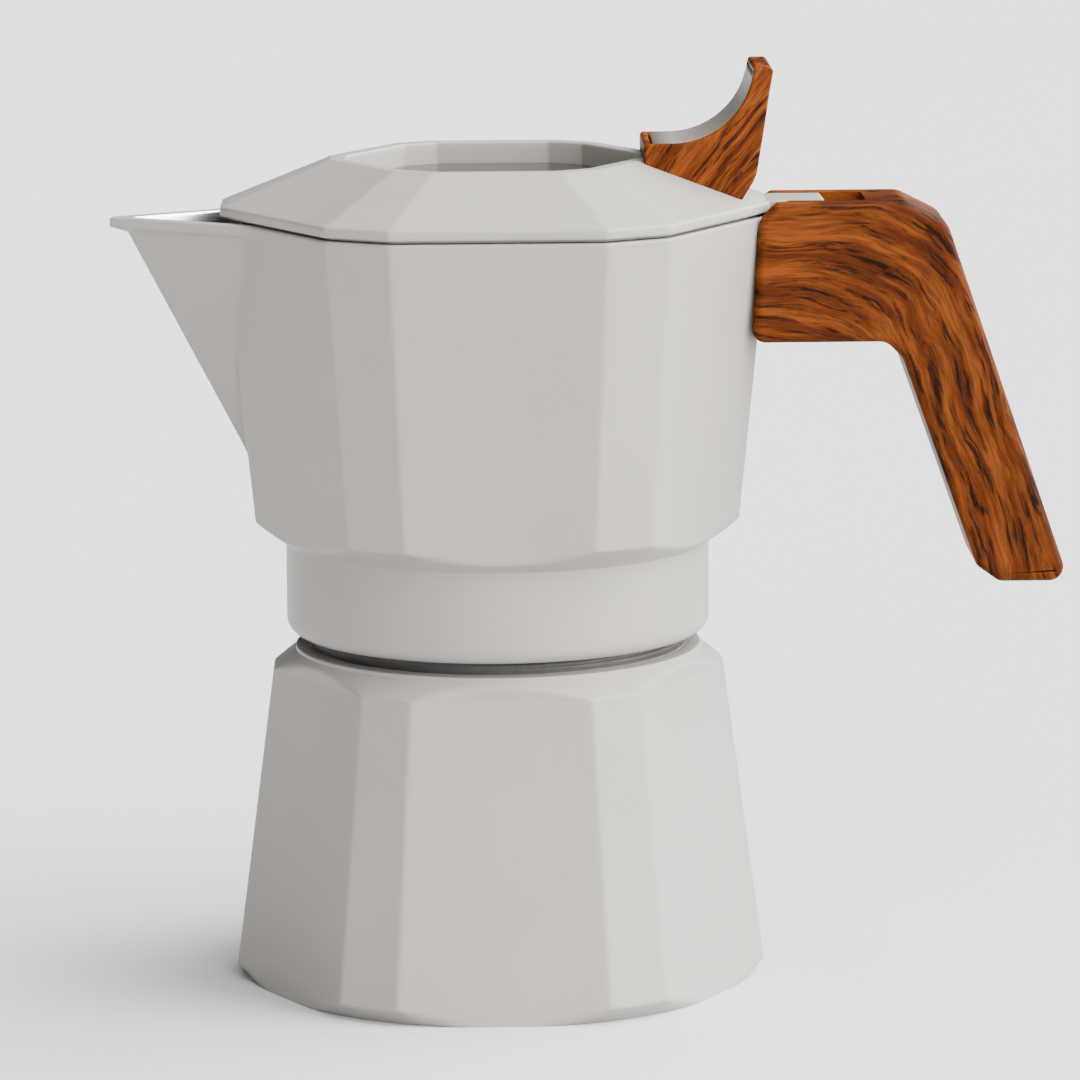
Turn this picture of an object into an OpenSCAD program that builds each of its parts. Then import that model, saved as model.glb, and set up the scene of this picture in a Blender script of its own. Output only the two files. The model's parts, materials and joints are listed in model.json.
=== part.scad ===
// Stovetop coffee maker (moka pot) with twelve alternating wide and narrow facets.
// Z is up, the pot stands on z = 0 and its axis is the Z axis.
// The spout points to -X, the handle and the lid hinge are on +X.

/* [Boiler] */
// How far the facets lean out from the shoulder down to the table
boiler_flare = 7.5; // [4:0.1:14]
// Height of the shoulder corners
boiler_h = 55.9; // [46:0.1:72]
// Half angle that one wide boiler facet takes
boiler_half = 23; // [20:0.5:25]
// How far the round base stays inside the bottom corners
base_cut = 3.2; // [1:0.1:6]
// Rise of the round chamfer that cuts the bottom corners
base_chamfer_h = 3.4; // [1:0.1:6]
// Thickness of the boiler floor
boiler_floor = 3.2; // [2:0.1:6]
// Wall of the boiler at the middle of a wide facet
boiler_wall = 4; // [2.5:0.1:6]
// Rise of the conical shoulder for each millimetre inward
shoulder_slope = 0.77; // [0.5:0.01:1.1]
// Width of the conical shoulder at the corners
shoulder_w = 4.3; // [3.6:0.1:8]
// Width of the raised ring round the neck
collar_w = 2.8; // [2:0.1:4]
// Height of the raised ring
collar_h = 0.6; // [0.3:0.1:1.2]

/* [Thread] */
// Outer radius of the thread on the boiler neck
neck_r = 33.2; // [30:0.1:40]
// Wall of the boiler neck
neck_wall = 3; // [2.2:0.1:4.5]
// Height of the neck above the raised ring
neck_h = 13; // [10:0.1:18]
// Pitch of the thread
thread_pitch = 3.5; // [2:0.1:5]
// Depth of the thread grooves
thread_depth = 0.9; // [0.4:0.1:1.3]
// Radial clearance of the thread
thread_gap = 0.1; // [0.05:0.01:0.1]

/* [Collector] */
// Height of the collector from its lower edge to its rim
collector_h = 72.9; // [62:0.1:92]
// How far the facets stand out from the skirt at their lower end
facet_step = 5.6; // [4.6:0.1:10]
// How far the facets lean out from their lower end to the rim
collector_flare = 5.5; // [3:0.1:12]
// Half angle that one wide collector facet takes
collector_half = 22.5; // [20:0.5:25]
// Wall of the round skirt over the thread
skirt_wall = 4.2; // [3:0.1:6]
// Height of the round skirt
skirt_h = 16.3; // [14:0.1:24]
// Radius of the skirt's lower edge
skirt_edge_r = 3; // [1:0.1:3.5]
// Gap between the skirt and the boiler's raised ring
skirt_gap = 2.4; // [1:0.1:4]
// Rise of the conical underside for each millimetre outward
underside_slope = 0.7; // [0.4:0.01:1]
// Wall of the collector
collector_wall = 2.6; // [1.8:0.1:4]
// Floor of the upper chamber
collector_floor = 3; // [2:0.1:5]

/* [Spout] */
// How far the spout's front edge stands out from the rim's corners
spout_out = 17.3; // [10:0.1:26]
// How far the front edge comes in for each millimetre down
spout_lean = 0.518; // [0.35:0.01:0.7]
// How fast the spout widens towards the pot
spout_spread = 0.6; // [0.4:0.01:0.8]
// Wall of the spout
spout_wall = 2; // [1.2:0.1:3]
// Half width of the rounded front edge
spout_nose = 1.2; // [0.6:0.1:2]
// How far the lip stands out past the front edge
lip_reach = 1.9; // [1:0.1:6]
// Thickness of the lip
lip_t = 2.3; // [1.5:0.1:4]

/* [Brewing pieces] */
// Height of the coffee basket
basket_h = 22; // [14:0.1:26]
// Sheet thickness of the funnel
sheet_t = 0.8; // [0.5:0.1:1.2]
// Clearance between the basket and the neck bore
basket_gap = 0.6; // [0.3:0.1:1.2]
// Outer radius of the funnel tube
tube_r = 4.4; // [3:0.1:7]
// Gap between the tube and the boiler floor
tube_gap = 4.8; // [3:0.1:8]
// Rise of the funnel's cone
funnel_cone_h = 11; // [8:0.1:16]
// Height of the gasket
gasket_h = 5.2; // [4:0.1:7]
// Width of the gasket
gasket_w = 6.6; // [5.6:0.1:8.5]
// Thickness of the two perforated plates
plate_t = 0.8; // [0.5:0.1:1.2]
// Radius of the holes in the perforated plates
plate_hole_r = 0.7; // [0.4:0.05:1]
// Spacing of the holes in the perforated plates
plate_pitch = 4.8; // [4:0.1:7]
// Height of the brewing column above the chamber floor
column_h = 36; // [25:0.5:42]
// Bore of the brewing column
column_bore_r = 3.4; // [2.5:0.1:4]

/* [Valve] */
// Height of the valve axis above the table
valve_z = 36; // [30:0.1:42]
// Radius of the cast boss under the valve
valve_boss_r = 9; // [8.5:0.1:11]
// Radius of the valve thread
valve_thread_r = 5; // [4:0.1:5.5]
// Width of the hexagon across its corners
valve_hex = 15; // [13:0.1:17]
// Length of the hexagon
valve_hex_l = 5; // [4:0.1:7]

/* [Lid] */
// Height of the lid's upright rim
lid_rim_h = 1.7; // [1.4:0.1:4]
// Height of the sloping part of the lid
lid_slope_h = 9; // [6:0.1:12]
// Width of the sloping part at the corners
lid_slope_w = 19.6; // [17:0.1:22]
// Width of the flat border round the recess
lid_border = 2.9; // [2:0.1:4]
// Depth of the recess in the top
recess_h = 3.8; // [1.5:0.1:5]
// Wall of the lid
lid_wall = 2.4; // [1.8:0.1:3]
// Seam between the lid and the collector
lid_seam = 0.6; // [0.4:0.1:1.2]
// Thickness of the window
window_t = 1.6; // [1.2:0.1:2]
// Width of the ledge that carries the window, at the corners
window_ledge_w = 5.1; // [4:0.1:9]

/* [Hinge] */
// Distance of the hinge axis from the collector's corner radius
hinge_out = 4.9; // [4.5:0.1:7]
// Depth of the hinge axis below the collector's rim
hinge_drop = 1.1; // [0.9:0.1:1.6]
// Radius of the hinge pin
pin_r = 1.25; // [1:0.05:1.4]
// Running clearance of the hinge pin in the lid
pin_gap = 0.05; // [0.03:0.01:0.1]
// Width of the lid's tongue
tongue_w = 12; // [11:0.1:14]
// Width of the cast lug between the two sides of the tongue
lug_w = 6.6; // [6:0.1:7]

/* [Handle] */
// Width of the handle
handle_w = 23; // [20:0.1:27]
// How far the handle's lower end stands out from the rim's corners
handle_out = 51.6; // [44:0.1:66]
// Height of the handle from its lower end to its top
handle_h = 67.4; // [58:0.1:82]
// Thickness of the handle's arm
handle_arm = 24.6; // [22:0.1:28]
// Clearance between the handle and the collector
handle_gap = 0.3; // [0.2:0.05:0.6]
// Radius of the handle screw
screw_r = 2; // [1.5:0.1:2.2]

/* [Knob] */
// Width of the knob
knob_w = 22; // [16:0.1:25]
// Height of the knob's top above the lid's flat top
knob_rise = 16.2; // [12:0.1:20]
// Radius of the hollow front of the knob
knob_hollow_r = 14.1; // [12:0.1:15]
// Thickness of the inlay
inlay_t = 1.2; // [0.8:0.1:1.6]
// Wood left on each side of the inlay
inlay_border = 1; // [0.6:0.1:2]

/* [Hidden] */
$fn = 96;

paint = "#c9c6bf";
bare = "#d7d8da";
brass = "#c9a24f";
rubber = "#3a3836";
wood = "#93522a";
steel = "#b9bcc0";
touch = "#a39a94";

// Small gap between faces that rest on each other in different bodies
rest_gap = 0.05;
// Length that a cutting shape runs past the face it cuts
over = 1;

// Boiler
neck_bore_r = neck_r - neck_wall;
collar_r = neck_r + collar_w;
boiler_top_r = collar_r + shoulder_w;
boiler_r = boiler_top_r + boiler_flare;
base_r = boiler_r - base_cut;
shoulder_z = boiler_h + (boiler_top_r - collar_r) * shoulder_slope;
collar_z = shoulder_z + collar_h;
neck_z = collar_z + neck_h;
boiler_taper = (boiler_r - boiler_top_r) / boiler_h;

// Seal stack, upwards from the boiler's rim
flange_z = neck_z + sheet_t;
gasket_z = flange_z + rest_gap;
seat_z = gasket_z + gasket_h + rest_gap;
plate_z = seat_z + rest_gap;
plate_seat_z = plate_z + plate_t + rest_gap;
chamber_z = plate_seat_z + 2.5;
floor_z = chamber_z + collector_floor;

// Collector
skirt_bore_r = neck_r + thread_gap;
skirt_r = skirt_bore_r + skirt_wall;
skirt_z = collar_z + skirt_gap;
collector_low_r = skirt_r + facet_step;
collector_top_r = collector_low_r + collector_flare;
spout_reach = collector_top_r + spout_out;
skirt_top_z = skirt_z + skirt_h;
facet_z = skirt_top_z + (collector_low_r - skirt_r) * underside_slope;
rim_z = skirt_z + collector_h;
collector_taper = (collector_top_r - collector_low_r) / (rim_z - facet_z);
gasket_r = skirt_bore_r - 0.7;
gasket_bore_r = gasket_r - gasket_w;
filter_r = gasket_r - 4;

// Lid and hinge
lid_z = rim_z + lid_seam;
lid_rim_z = lid_z + lid_rim_h;
lid_top_z = lid_rim_z + lid_slope_h;
lid_r = collector_top_r;
lid_top_r = lid_r - lid_slope_w;
lid_grade = lid_slope_h / (lid_r - lid_top_r);
lid_angle = atan(lid_grade / cos(30 - collector_half));
recess_r = lid_top_r - lid_border;
window_hole_r = recess_r - window_ledge_w;
recess_z = lid_top_z - recess_h;
window_seal_t = 0.5;
ledge_z = recess_z - window_t - window_seal_t;
ledge_t = 1.8;
hinge_x = collector_top_r + hinge_out;
hinge_z = rim_z - hinge_drop;
handle_top_z = rim_z + 3.7;
tongue_top_z = handle_top_z;
tongue_t = 2.2;
tongue_end_x = hinge_x + 5;
knuckle_r = tongue_top_z - tongue_t - hinge_z - 0.4;
flange_r = pin_r + 2.15;
flange_in = lug_w / 2 + 0.4;

// Handle
handle_reach = collector_top_r + handle_out;
handle_low_z = handle_top_z - handle_h;
arm_z = handle_top_z - handle_arm;
slot_w = tongue_w + 0.7;
slot_end_x = hinge_x + 11.4;
slot_floor_z = hinge_z - 6.4;
bracket_top_z = slot_floor_z - 0.6;
bracket_z = arm_z + 5;
bracket_end_x = slot_end_x - 1.6;
bracket_gap = 0.2;
screw_x = hinge_x + 4;
screw_head_r = screw_r + 1.5;
screw_head_h = 2.2;
washer_t = 0.8;
washer_z = arm_z + screw_head_h + 0.2;

// Knob
knob_top_z = lid_top_z + knob_rise;
knob_front_x = lid_r - 22.7;
knob_screw_x = lid_r - 10.6;
knob_screw_r = 1.5;
hollow_x = lid_r - 17.6;
hollow_z = lid_top_z + knob_hollow_r + 3;

// Valve, measured along +Y from the boss face
boiler_apothem = (boiler_r - boiler_taper * valve_z) * cos(boiler_half);
boss_y = boiler_apothem + 1.6;
valve_bore_r = valve_thread_r - 2;
valve_seat_t = 2;
valve_inner = 2 + boiler_wall + 1.5;
valve_washer_t = 1;
valve_top = valve_washer_t + valve_hex_l;
valve_cap_t = 1.6;
valve_rod_r = 1;
valve_disc_t = 1;
disc_y = -valve_inner + valve_seat_t + 0.1;
spring_wire_r = 0.35;
spring_r = valve_bore_r - spring_wire_r - 0.4;
spring_from = disc_y + valve_disc_t + spring_wire_r + 0.05;
spring_to = valve_top - valve_cap_t - spring_wire_r - 0.05;

// Ring of the twelve corners: six wide facets face 30 + 60 k degrees.
function facet_ring(r, half) =
    [for (k = [0:5]) for (s = [-1, 1]) r * [cos(30 + 60 * k + s * half), sin(30 + 60 * k + s * half)]];

// Straight stack of twelve-sided rings, each given as [z, corner radius].
module facet_stack(levels, half) {
    n = 12;
    last = len(levels) - 1;
    points = [for (l = levels) for (p = facet_ring(l[1], half)) [p[0], p[1], l[0]]];
    bottom = [[for (i = [0:n - 1]) i]];
    top = [[for (i = [n - 1:-1:0]) last * n + i]];
    sides = [for (j = [0:last - 1]) for (i = [0:n - 1])
        [j * n + i, (j + 1) * n + i, (j + 1) * n + (i + 1) % n, j * n + (i + 1) % n]];
    polyhedron(points = points, faces = concat(bottom, top, sides));
}

// Ring with a rectangular section
module ring(r_out, r_in, z, h) {
    translate([0, 0, z]) difference() {
        cylinder(r = r_out, h = h);
        translate([0, 0, -over]) cylinder(r = r_in, h = h + 2 * over);
    }
}

// Lower part of a rounded convex quarter, as points from the bottom to the side
function edge_arc(cx, cz, r, from, to, steps = 10) =
    [for (i = [0:steps]) let (a = from + (to - from) * i / steps) [cx + r * cos(a), cz + r * sin(a)]];

// Holes in hexagonal rings about the centre
module plate_holes(reach) {
    rings = floor(reach / plate_pitch);
    circle(r = plate_hole_r, $fn = 16);
    for (k = [1:rings], i = [0:6 * k - 1])
        rotate(360 * i / (6 * k)) translate([k * plate_pitch, 0]) circle(r = plate_hole_r, $fn = 16);
}

// Axis of the valve: local z points out of the back of the boiler
module at_valve() {
    translate([0, boss_y, valve_z]) rotate([-90, 0, 0]) children();
}

module boiler_shape() {
    corner_z = boiler_h - (boiler_r + over - boiler_top_r) * shoulder_slope;
    grooves = floor((neck_h - 3) / thread_pitch);
    intersection() {
        facet_stack([[0, boiler_r], [neck_z, boiler_r - boiler_taper * neck_z]], boiler_half);
        rotate_extrude() polygon([
            [0, 0], [base_r, 0], [boiler_r + over, base_chamfer_h * (base_cut + over) / base_cut],
            [boiler_r + over, corner_z], [collar_r, shoulder_z], [0, shoulder_z]
        ]);
    }
    translate([0, 0, shoulder_z - over]) cylinder(r = collar_r, h = over + collar_h);
    rotate_extrude() polygon(concat(
        [[neck_bore_r - 1, collar_z - 1], [neck_r, collar_z - 1]],
        [for (k = [0:grooves - 1]) let (z = collar_z + 2 + k * thread_pitch) each
            [[neck_r, z], [neck_r - thread_depth, z + 0.9], [neck_r - thread_depth, z + 1.4], [neck_r, z + 2.3]]],
        [[neck_r, neck_z - 0.6], [neck_r - 0.6, neck_z], [neck_bore_r - 1, neck_z]]
    ));
    intersection() {
        at_valve() translate([0, 0, -boss_y]) cylinder(r = valve_boss_r, h = boss_y);
        translate([0, boiler_r, 0]) cylinder(r = boiler_r, h = shoulder_z);
    }
}

module boiler_cavity() {
    low_r = (boiler_r - boiler_taper * boiler_floor) * cos(boiler_half) - boiler_wall;
    high_z = boiler_h - 6;
    high_r = (boiler_r - boiler_taper * high_z) * cos(boiler_half) - boiler_wall;
    rotate_extrude() polygon(concat(
        [[0, boiler_floor]],
        edge_arc(low_r - 4, boiler_floor + 4, 4, -90, 0),
        [[high_r, high_z], [neck_bore_r, shoulder_z - 1], [neck_bore_r, neck_z + over], [0, neck_z + over]]
    ));
}

module boiler() {
    color(paint) difference() {
        boiler_shape();
        boiler_cavity();
        at_valve() translate([0, 0, -boss_y / 2]) cylinder(r = valve_thread_r, h = boss_y);
    }
}

module valve_body() {
    color(brass) at_valve() difference() {
        union() {
            translate([0, 0, -valve_inner]) cylinder(r = valve_thread_r, h = valve_inner + valve_washer_t);
            translate([0, 0, valve_washer_t]) cylinder(d = valve_hex, h = valve_hex_l, $fn = 6);
        }
        translate([0, 0, -valve_inner + valve_seat_t]) cylinder(r = valve_bore_r, h = valve_inner + valve_top);
        translate([0, 0, -valve_inner - over]) cylinder(r = valve_bore_r - 1.2, h = valve_seat_t + 2 * over);
    }
}

module valve_washer() {
    color(rubber) at_valve() ring(valve_thread_r + 2, valve_thread_r, 0, valve_washer_t);
}

module valve_cap() {
    color(brass) at_valve() ring(valve_bore_r, valve_rod_r + 0.08, valve_top - valve_cap_t, valve_cap_t);
}

module valve_pin() {
    color(steel) at_valve() {
        translate([0, 0, disc_y]) cylinder(r = valve_bore_r - 0.3, h = valve_disc_t);
        translate([0, 0, disc_y - 1.2]) cylinder(r1 = valve_bore_r - 1.9, r2 = valve_bore_r - 1.5, h = 1.2);
        translate([0, 0, disc_y]) cylinder(r = valve_rod_r, h = valve_top + 2.6 - disc_y);
        translate([0, 0, valve_top + 2.6]) sphere(r = valve_rod_r, $fn = 32);
    }
}

module valve_spring() {
    turns = 6;
    steps = 14;
    sides = 6;
    count = turns * steps;
    length = spring_to - spring_from;
    points = [for (i = [0:count]) let (a = 360 * i / steps, z = spring_from + length * i / count)
        for (j = [0:sides - 1]) let (b = 360 * j / sides, r = spring_r + spring_wire_r * cos(b))
            [r * cos(a), r * sin(a), z + spring_wire_r * sin(b)]];
    sides_faces = [for (i = [0:count - 1]) for (j = [0:sides - 1])
        [i * sides + j, i * sides + (j + 1) % sides, (i + 1) * sides + (j + 1) % sides, (i + 1) * sides + j]];
    start = [[for (j = [sides - 1:-1:0]) j]];
    end = [[for (j = [0:sides - 1]) count * sides + j]];
    color(steel) at_valve() polyhedron(points = points, faces = concat(start, end, sides_faces));
}

module funnel() {
    cup_r = neck_bore_r - basket_gap;
    in_r = cup_r - sheet_t;
    cup_z = flange_z - basket_h;
    tube_top_z = cup_z - funnel_cone_h;
    tube_z = boiler_floor + tube_gap;
    bore_r = tube_r - sheet_t;
    color(bare) rotate_extrude() polygon([
        [bore_r, tube_z], [tube_r, tube_z], [tube_r, tube_top_z], [cup_r, cup_z - sheet_t], [cup_r, neck_z],
        [neck_r - 0.8, neck_z], [neck_r - 0.8, flange_z], [in_r, flange_z], [in_r, cup_z],
        [in_r - 1.8, cup_z], [bore_r, tube_top_z + sheet_t]
    ]);
}

module funnel_screen() {
    screen_r = neck_bore_r - basket_gap - sheet_t;
    color(bare) translate([0, 0, flange_z - basket_h]) linear_extrude(plate_t) difference() {
        circle(r = screen_r);
        plate_holes(screen_r - 3);
    }
}

module gasket() {
    color("#e6e2da") ring(gasket_r, gasket_bore_r, gasket_z, gasket_h);
}

module filter_plate() {
    color(bare) translate([0, 0, plate_z]) linear_extrude(plate_t) difference() {
        circle(r = filter_r);
        plate_holes(gasket_bore_r - 1);
    }
}

// Plan of the spout at height z: the front edge is blunt and the sides spread towards the pot.
module spout_prism(front_top, nose, inset_x, z_from, z_to) {
    function front(z) = front_top - (rim_z - z) * spout_lean;
    function section(z) = [
        [-inset_x, -nose - (front(z) - inset_x) * spout_spread, z], [-front(z), -nose, z],
        [-front(z), nose, z], [-inset_x, nose + (front(z) - inset_x) * spout_spread, z]
    ];
    points = concat(section(z_from), section(z_to));
    polyhedron(points = points, faces = [
        [3, 2, 1, 0], [4, 5, 6, 7], [1, 5, 4, 0], [2, 6, 5, 1], [3, 7, 6, 2], [0, 4, 7, 3]
    ]);
}

// Lip round the top of the spout, wider at the rim than below
module spout_lip() {
    side = 0.8;
    inset_x = collector_top_r - 10;
    function outline(grow, reach) = [
        [-inset_x, -spout_nose - grow - (spout_reach - inset_x) * spout_spread],
        [-reach, -spout_nose - grow], [-reach, spout_nose + grow],
        [-inset_x, spout_nose + grow + (spout_reach - inset_x) * spout_spread]
    ];
    hull() {
        translate([0, 0, rim_z - 0.6]) linear_extrude(0.6) polygon(outline(side, spout_reach + lip_reach));
        translate([0, 0, rim_z - lip_t]) linear_extrude(0.1) polygon(outline(0.1, spout_reach + lip_reach - 1.2));
    }
}

module collector_outside() {
    facet_stack([
        [facet_z - 12, collector_low_r - 12 * collector_taper], [rim_z, collector_top_r]
    ], collector_half);
}

module collector_bracket() {
    // Cast lug under the lid's hinge and the bracket that holds the handle
    translate([collector_top_r - 5, -lug_w / 2, bracket_z]) {
        cube([bracket_end_x - collector_top_r + 5, lug_w, bracket_top_z - bracket_z]);
        cube([hinge_x + knuckle_r - 0.4 - collector_top_r + 5, lug_w, hinge_z - bracket_z]);
    }
    translate([hinge_x, lug_w / 2, hinge_z]) rotate([90, 0, 0]) cylinder(r = knuckle_r, h = lug_w);
}

module collector() {
    in_low_r = collector_low_r - collector_wall / cos(30 - collector_half);
    in_top_r = collector_top_r - collector_wall / cos(30 - collector_half);
    color(paint) difference() {
        union() {
            intersection() {
                union() {
                    collector_outside();
                    spout_prism(spout_reach, spout_nose, collector_top_r - 14, facet_z, rim_z);
                    spout_lip();
                }
                rotate_extrude() polygon([
                    [0, skirt_top_z - 1], [skirt_r, skirt_top_z - 1], [skirt_r, skirt_top_z],
                    [skirt_r + 60, skirt_top_z + 60 * underside_slope], [skirt_r + 60, rim_z], [0, rim_z]
                ]);
            }
            rotate_extrude() polygon(concat(
                [[0, skirt_z], [skirt_r - skirt_edge_r, skirt_z]],
                edge_arc(skirt_r - skirt_edge_r, skirt_z + skirt_edge_r, skirt_edge_r, -90, 0),
                [[skirt_r, skirt_top_z], [0, skirt_top_z]]
            ));
            collector_bracket();
        }
        // Upper chamber and the open channel of the spout
        facet_stack([
            [floor_z, in_low_r - (facet_z - floor_z) * collector_taper],
            [rim_z + over, in_top_r + over * collector_taper]
        ], collector_half);
        spout_prism(spout_reach - spout_wall - 0.6, 0.2, 20, floor_z + 6, rim_z + over);
        // Thread bore, gasket seat, seat of the filter plate and the chamber above it
        translate([0, 0, skirt_z - over]) cylinder(r = skirt_bore_r, h = seat_z - skirt_z + over);
        translate([0, 0, skirt_z]) cylinder(r = filter_r + 0.3, h = plate_seat_z - skirt_z);
        translate([0, 0, plate_seat_z - over]) cylinder(r = gasket_bore_r, h = over + 0.8);
        translate([0, 0, plate_seat_z + 0.8 - rest_gap])
            cylinder(r1 = gasket_bore_r, r2 = column_bore_r + 4, h = chamber_z - plate_seat_z - 0.8 + rest_gap);
        translate([0, 0, skirt_z]) cylinder(r = column_bore_r + 3, h = floor_z - skirt_z + over);
        // Hinge pin and handle screw
        translate([hinge_x, lug_w, hinge_z]) rotate([90, 0, 0]) cylinder(r = pin_r, h = 2 * lug_w);
        translate([screw_x, 0, bracket_z - over]) cylinder(r = screw_r, h = bracket_top_z - bracket_z - 1 + over);
    }
}

module brew_column() {
    foot_r = column_bore_r + 5.6;
    top_z = floor_z + column_h;
    slot_z = top_z - 7;
    color(bare) difference() {
        rotate_extrude() polygon(concat(
            [[0, chamber_z], [column_bore_r + 3, chamber_z], [column_bore_r + 3, floor_z], [foot_r, floor_z],
             [foot_r, floor_z + 1.2], [column_bore_r + 3.4, floor_z + 3], [column_bore_r + 1.4, top_z - 2]],
            edge_arc(column_bore_r - 0.6, top_z - 2, 2, 0, 90),
            [[0, top_z]]
        ));
        translate([0, 0, chamber_z - over]) cylinder(r = column_bore_r, h = slot_z + 3.6 - chamber_z + over);
        translate([-foot_r, -2.6, slot_z]) cube([2 * foot_r, 5.2, 3.6]);
    }
}

module hinge_pin() {
    length = tongue_w - 0.2;
    color(steel) translate([hinge_x, length / 2, hinge_z]) rotate([90, 0, 0]) cylinder(r = pin_r, h = length);
}

// Side view of the handle in x and z
module handle_profile() {
    front_x = collector_top_r - 8;
    chamfer = 4.5;
    shoulder_x = hinge_x + 18.1;
    knee_x = shoulder_x + 7.3;
    elbow_x = hinge_x + 14.7;
    elbow_z = arm_z - 3;
    polygon(concat(
        [[front_x, arm_z], [elbow_x, arm_z], [elbow_x + 3, elbow_z]],
        edge_arc(handle_reach - 12.6, handle_low_z + 3, 3, 200, 270, 6),
        edge_arc(handle_reach - 3.3, handle_low_z + 3, 3, 270, 379, 8),
        [[knee_x, handle_top_z - 3.7], [shoulder_x, handle_top_z],
         [collector_top_r + 0.2, handle_top_z],
         [collector_top_r - 3.4, handle_top_z - chamfer], [front_x, handle_top_z - chamfer]]
    ));
}

// Room for the lid's rim, which swings over the front top corner of the cheeks
module handle_relief() {
    inner = slot_w / 2;
    outer = handle_w / 2;
    near_r = norm([hinge_out + 0.4, lid_z - hinge_z]) - 0.35;
    far_r = near_r + 0.53 * (outer - inner);
    difference() {
        translate([collector_top_r - 9, -outer - over, hinge_z])
            cube([hinge_out + 9, 2 * (outer + over), handle_top_z - hinge_z + over]);
        for (side = [-1, 1]) translate([hinge_x, 0, hinge_z]) rotate([-90 * side, 0, 0]) {
            cylinder(r = near_r, h = inner);
            translate([0, 0, inner]) cylinder(r1 = near_r, r2 = far_r, h = outer - inner);
        }
    }
}

module handle() {
    color(wood) difference() {
        translate([0, handle_w / 2, 0]) rotate([90, 0, 0]) linear_extrude(handle_w) handle_profile();
        facet_stack([
            [facet_z, collector_low_r + handle_gap], [rim_z, collector_top_r + handle_gap],
            [handle_top_z + over, collector_top_r + handle_gap]
        ], collector_half);
        handle_relief();
        // Slot for the lid's tongue, pocket for the cast bracket
        translate([0, -slot_w / 2, slot_floor_z]) cube([slot_end_x, slot_w, handle_top_z]);
        translate([0, -lug_w / 2 - bracket_gap, bracket_z])
            cube([bracket_end_x + bracket_gap, lug_w + 2 * bracket_gap, handle_top_z]);
        // Screw hole and the counterbore for the washer and the screw head
        translate([screw_x, 0, arm_z - over]) cylinder(r = screw_r + 0.2, h = 2 * over + 5);
        translate([screw_x, 0, arm_z - over])
            cylinder(r = screw_head_r + 0.6, h = washer_z + washer_t - arm_z + over);
    }
}

module handle_washer() {
    color(steel) translate([screw_x, 0, 0]) ring(screw_head_r + 0.3, screw_r + 0.2, washer_z, washer_t);
}

module handle_screw() {
    color(steel) difference() {
        union() {
            translate([screw_x, 0, washer_z - screw_head_h]) cylinder(r = screw_head_r, h = screw_head_h);
            translate([screw_x, 0, washer_z - over])
                cylinder(r = screw_r, h = bracket_top_z - 1.5 - washer_z + over);
        }
        translate([screw_x, 0, washer_z - screw_head_h]) {
            cube([2 * screw_head_r - 2, 0.9, 2], center = true);
            cube([0.9, 2 * screw_head_r - 2, 2], center = true);
        }
    }
}

module lid_tongue() {
    half = tongue_w / 2;
    translate([collector_top_r - 3, -half, tongue_top_z - tongue_t])
        cube([tongue_end_x - collector_top_r + 3, tongue_w, tongue_t]);
    for (side = [-1, 1]) {
        y = side > 0 ? flange_in : -half;
        translate([hinge_x - flange_r, y, hinge_z])
            cube([2 * flange_r, half - flange_in, tongue_top_z - tongue_t / 2 - hinge_z]);
        translate([hinge_x, y, hinge_z]) rotate([-90, 0, 0]) cylinder(r = flange_r, h = half - flange_in);
    }
}

module lid() {
    bead_r = lid_r - 1.4;
    hollow_r = lid_r - lid_wall - 0.3;
    hollow_z = lid_rim_z + (lid_r - hollow_r) * lid_grade - lid_wall / cos(lid_angle);
    hollow_top_r = lid_top_r + 1.6;
    hub_r = recess_r + 1.6;
    spigot_r = (lid_r - collector_wall) * cos(collector_half) - 1.1;
    color(paint) difference() {
        union() {
            difference() {
                facet_stack([[lid_z, lid_r], [lid_rim_z, lid_r], [lid_top_z, lid_top_r]], collector_half);
                facet_stack([
                    [lid_z - over, hollow_r], [hollow_z, hollow_r],
                    [hollow_z + (hollow_r - hollow_top_r) * lid_grade, hollow_top_r]
                ], collector_half);
            }
            difference() {
                facet_stack([[rim_z + 0.1, bead_r], [lid_z + 0.2, bead_r]], collector_half);
                facet_stack([[lid_z - over, hollow_r], [lid_z + over, hollow_r]], collector_half);
            }
            ring(spigot_r, spigot_r - 1.6, rim_z - 1.6, 4.4);
            translate([0, 0, ledge_z - ledge_t]) cylinder(r = hub_r, h = recess_z - ledge_z + ledge_t + 1);
            lid_tongue();
        }
        facet_stack([[ledge_z, recess_r], [lid_top_z + over, recess_r]], collector_half);
        translate([0, 0, ledge_z - ledge_t - over]) cylinder(r = window_hole_r, h = ledge_t + 2 * over);
        translate([hinge_x, tongue_w, hinge_z]) rotate([90, 0, 0])
            cylinder(r = pin_r + pin_gap, h = 2 * tongue_w);
        at_knob_screw() translate([0, 0, -4]) cylinder(r = knob_screw_r + 0.2, h = 10);
    }
}

module lid_window() {
    r = recess_r - 0.15;
    color("#4a4a4d", 0.8) facet_stack([[recess_z - window_t, r], [recess_z, r]], collector_half);
}

module window_gasket() {
    color(rubber) difference() {
        facet_stack([[ledge_z, recess_r - 0.15], [ledge_z + window_seal_t, recess_r - 0.15]], collector_half);
        translate([0, 0, ledge_z - over]) cylinder(r = window_hole_r, h = window_seal_t + 2 * over);
    }
}

// Axis of the knob's screw, square to the lid's slope; local z = 0 is the lid's outer face
module at_knob_screw() {
    slope_x = lid_r * cos(30 - collector_half);
    z = lid_rim_z + (slope_x - knob_screw_x) * lid_grade / cos(30 - collector_half);
    translate([knob_screw_x, 0, z]) rotate([0, lid_angle, 0]) children();
}

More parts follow.
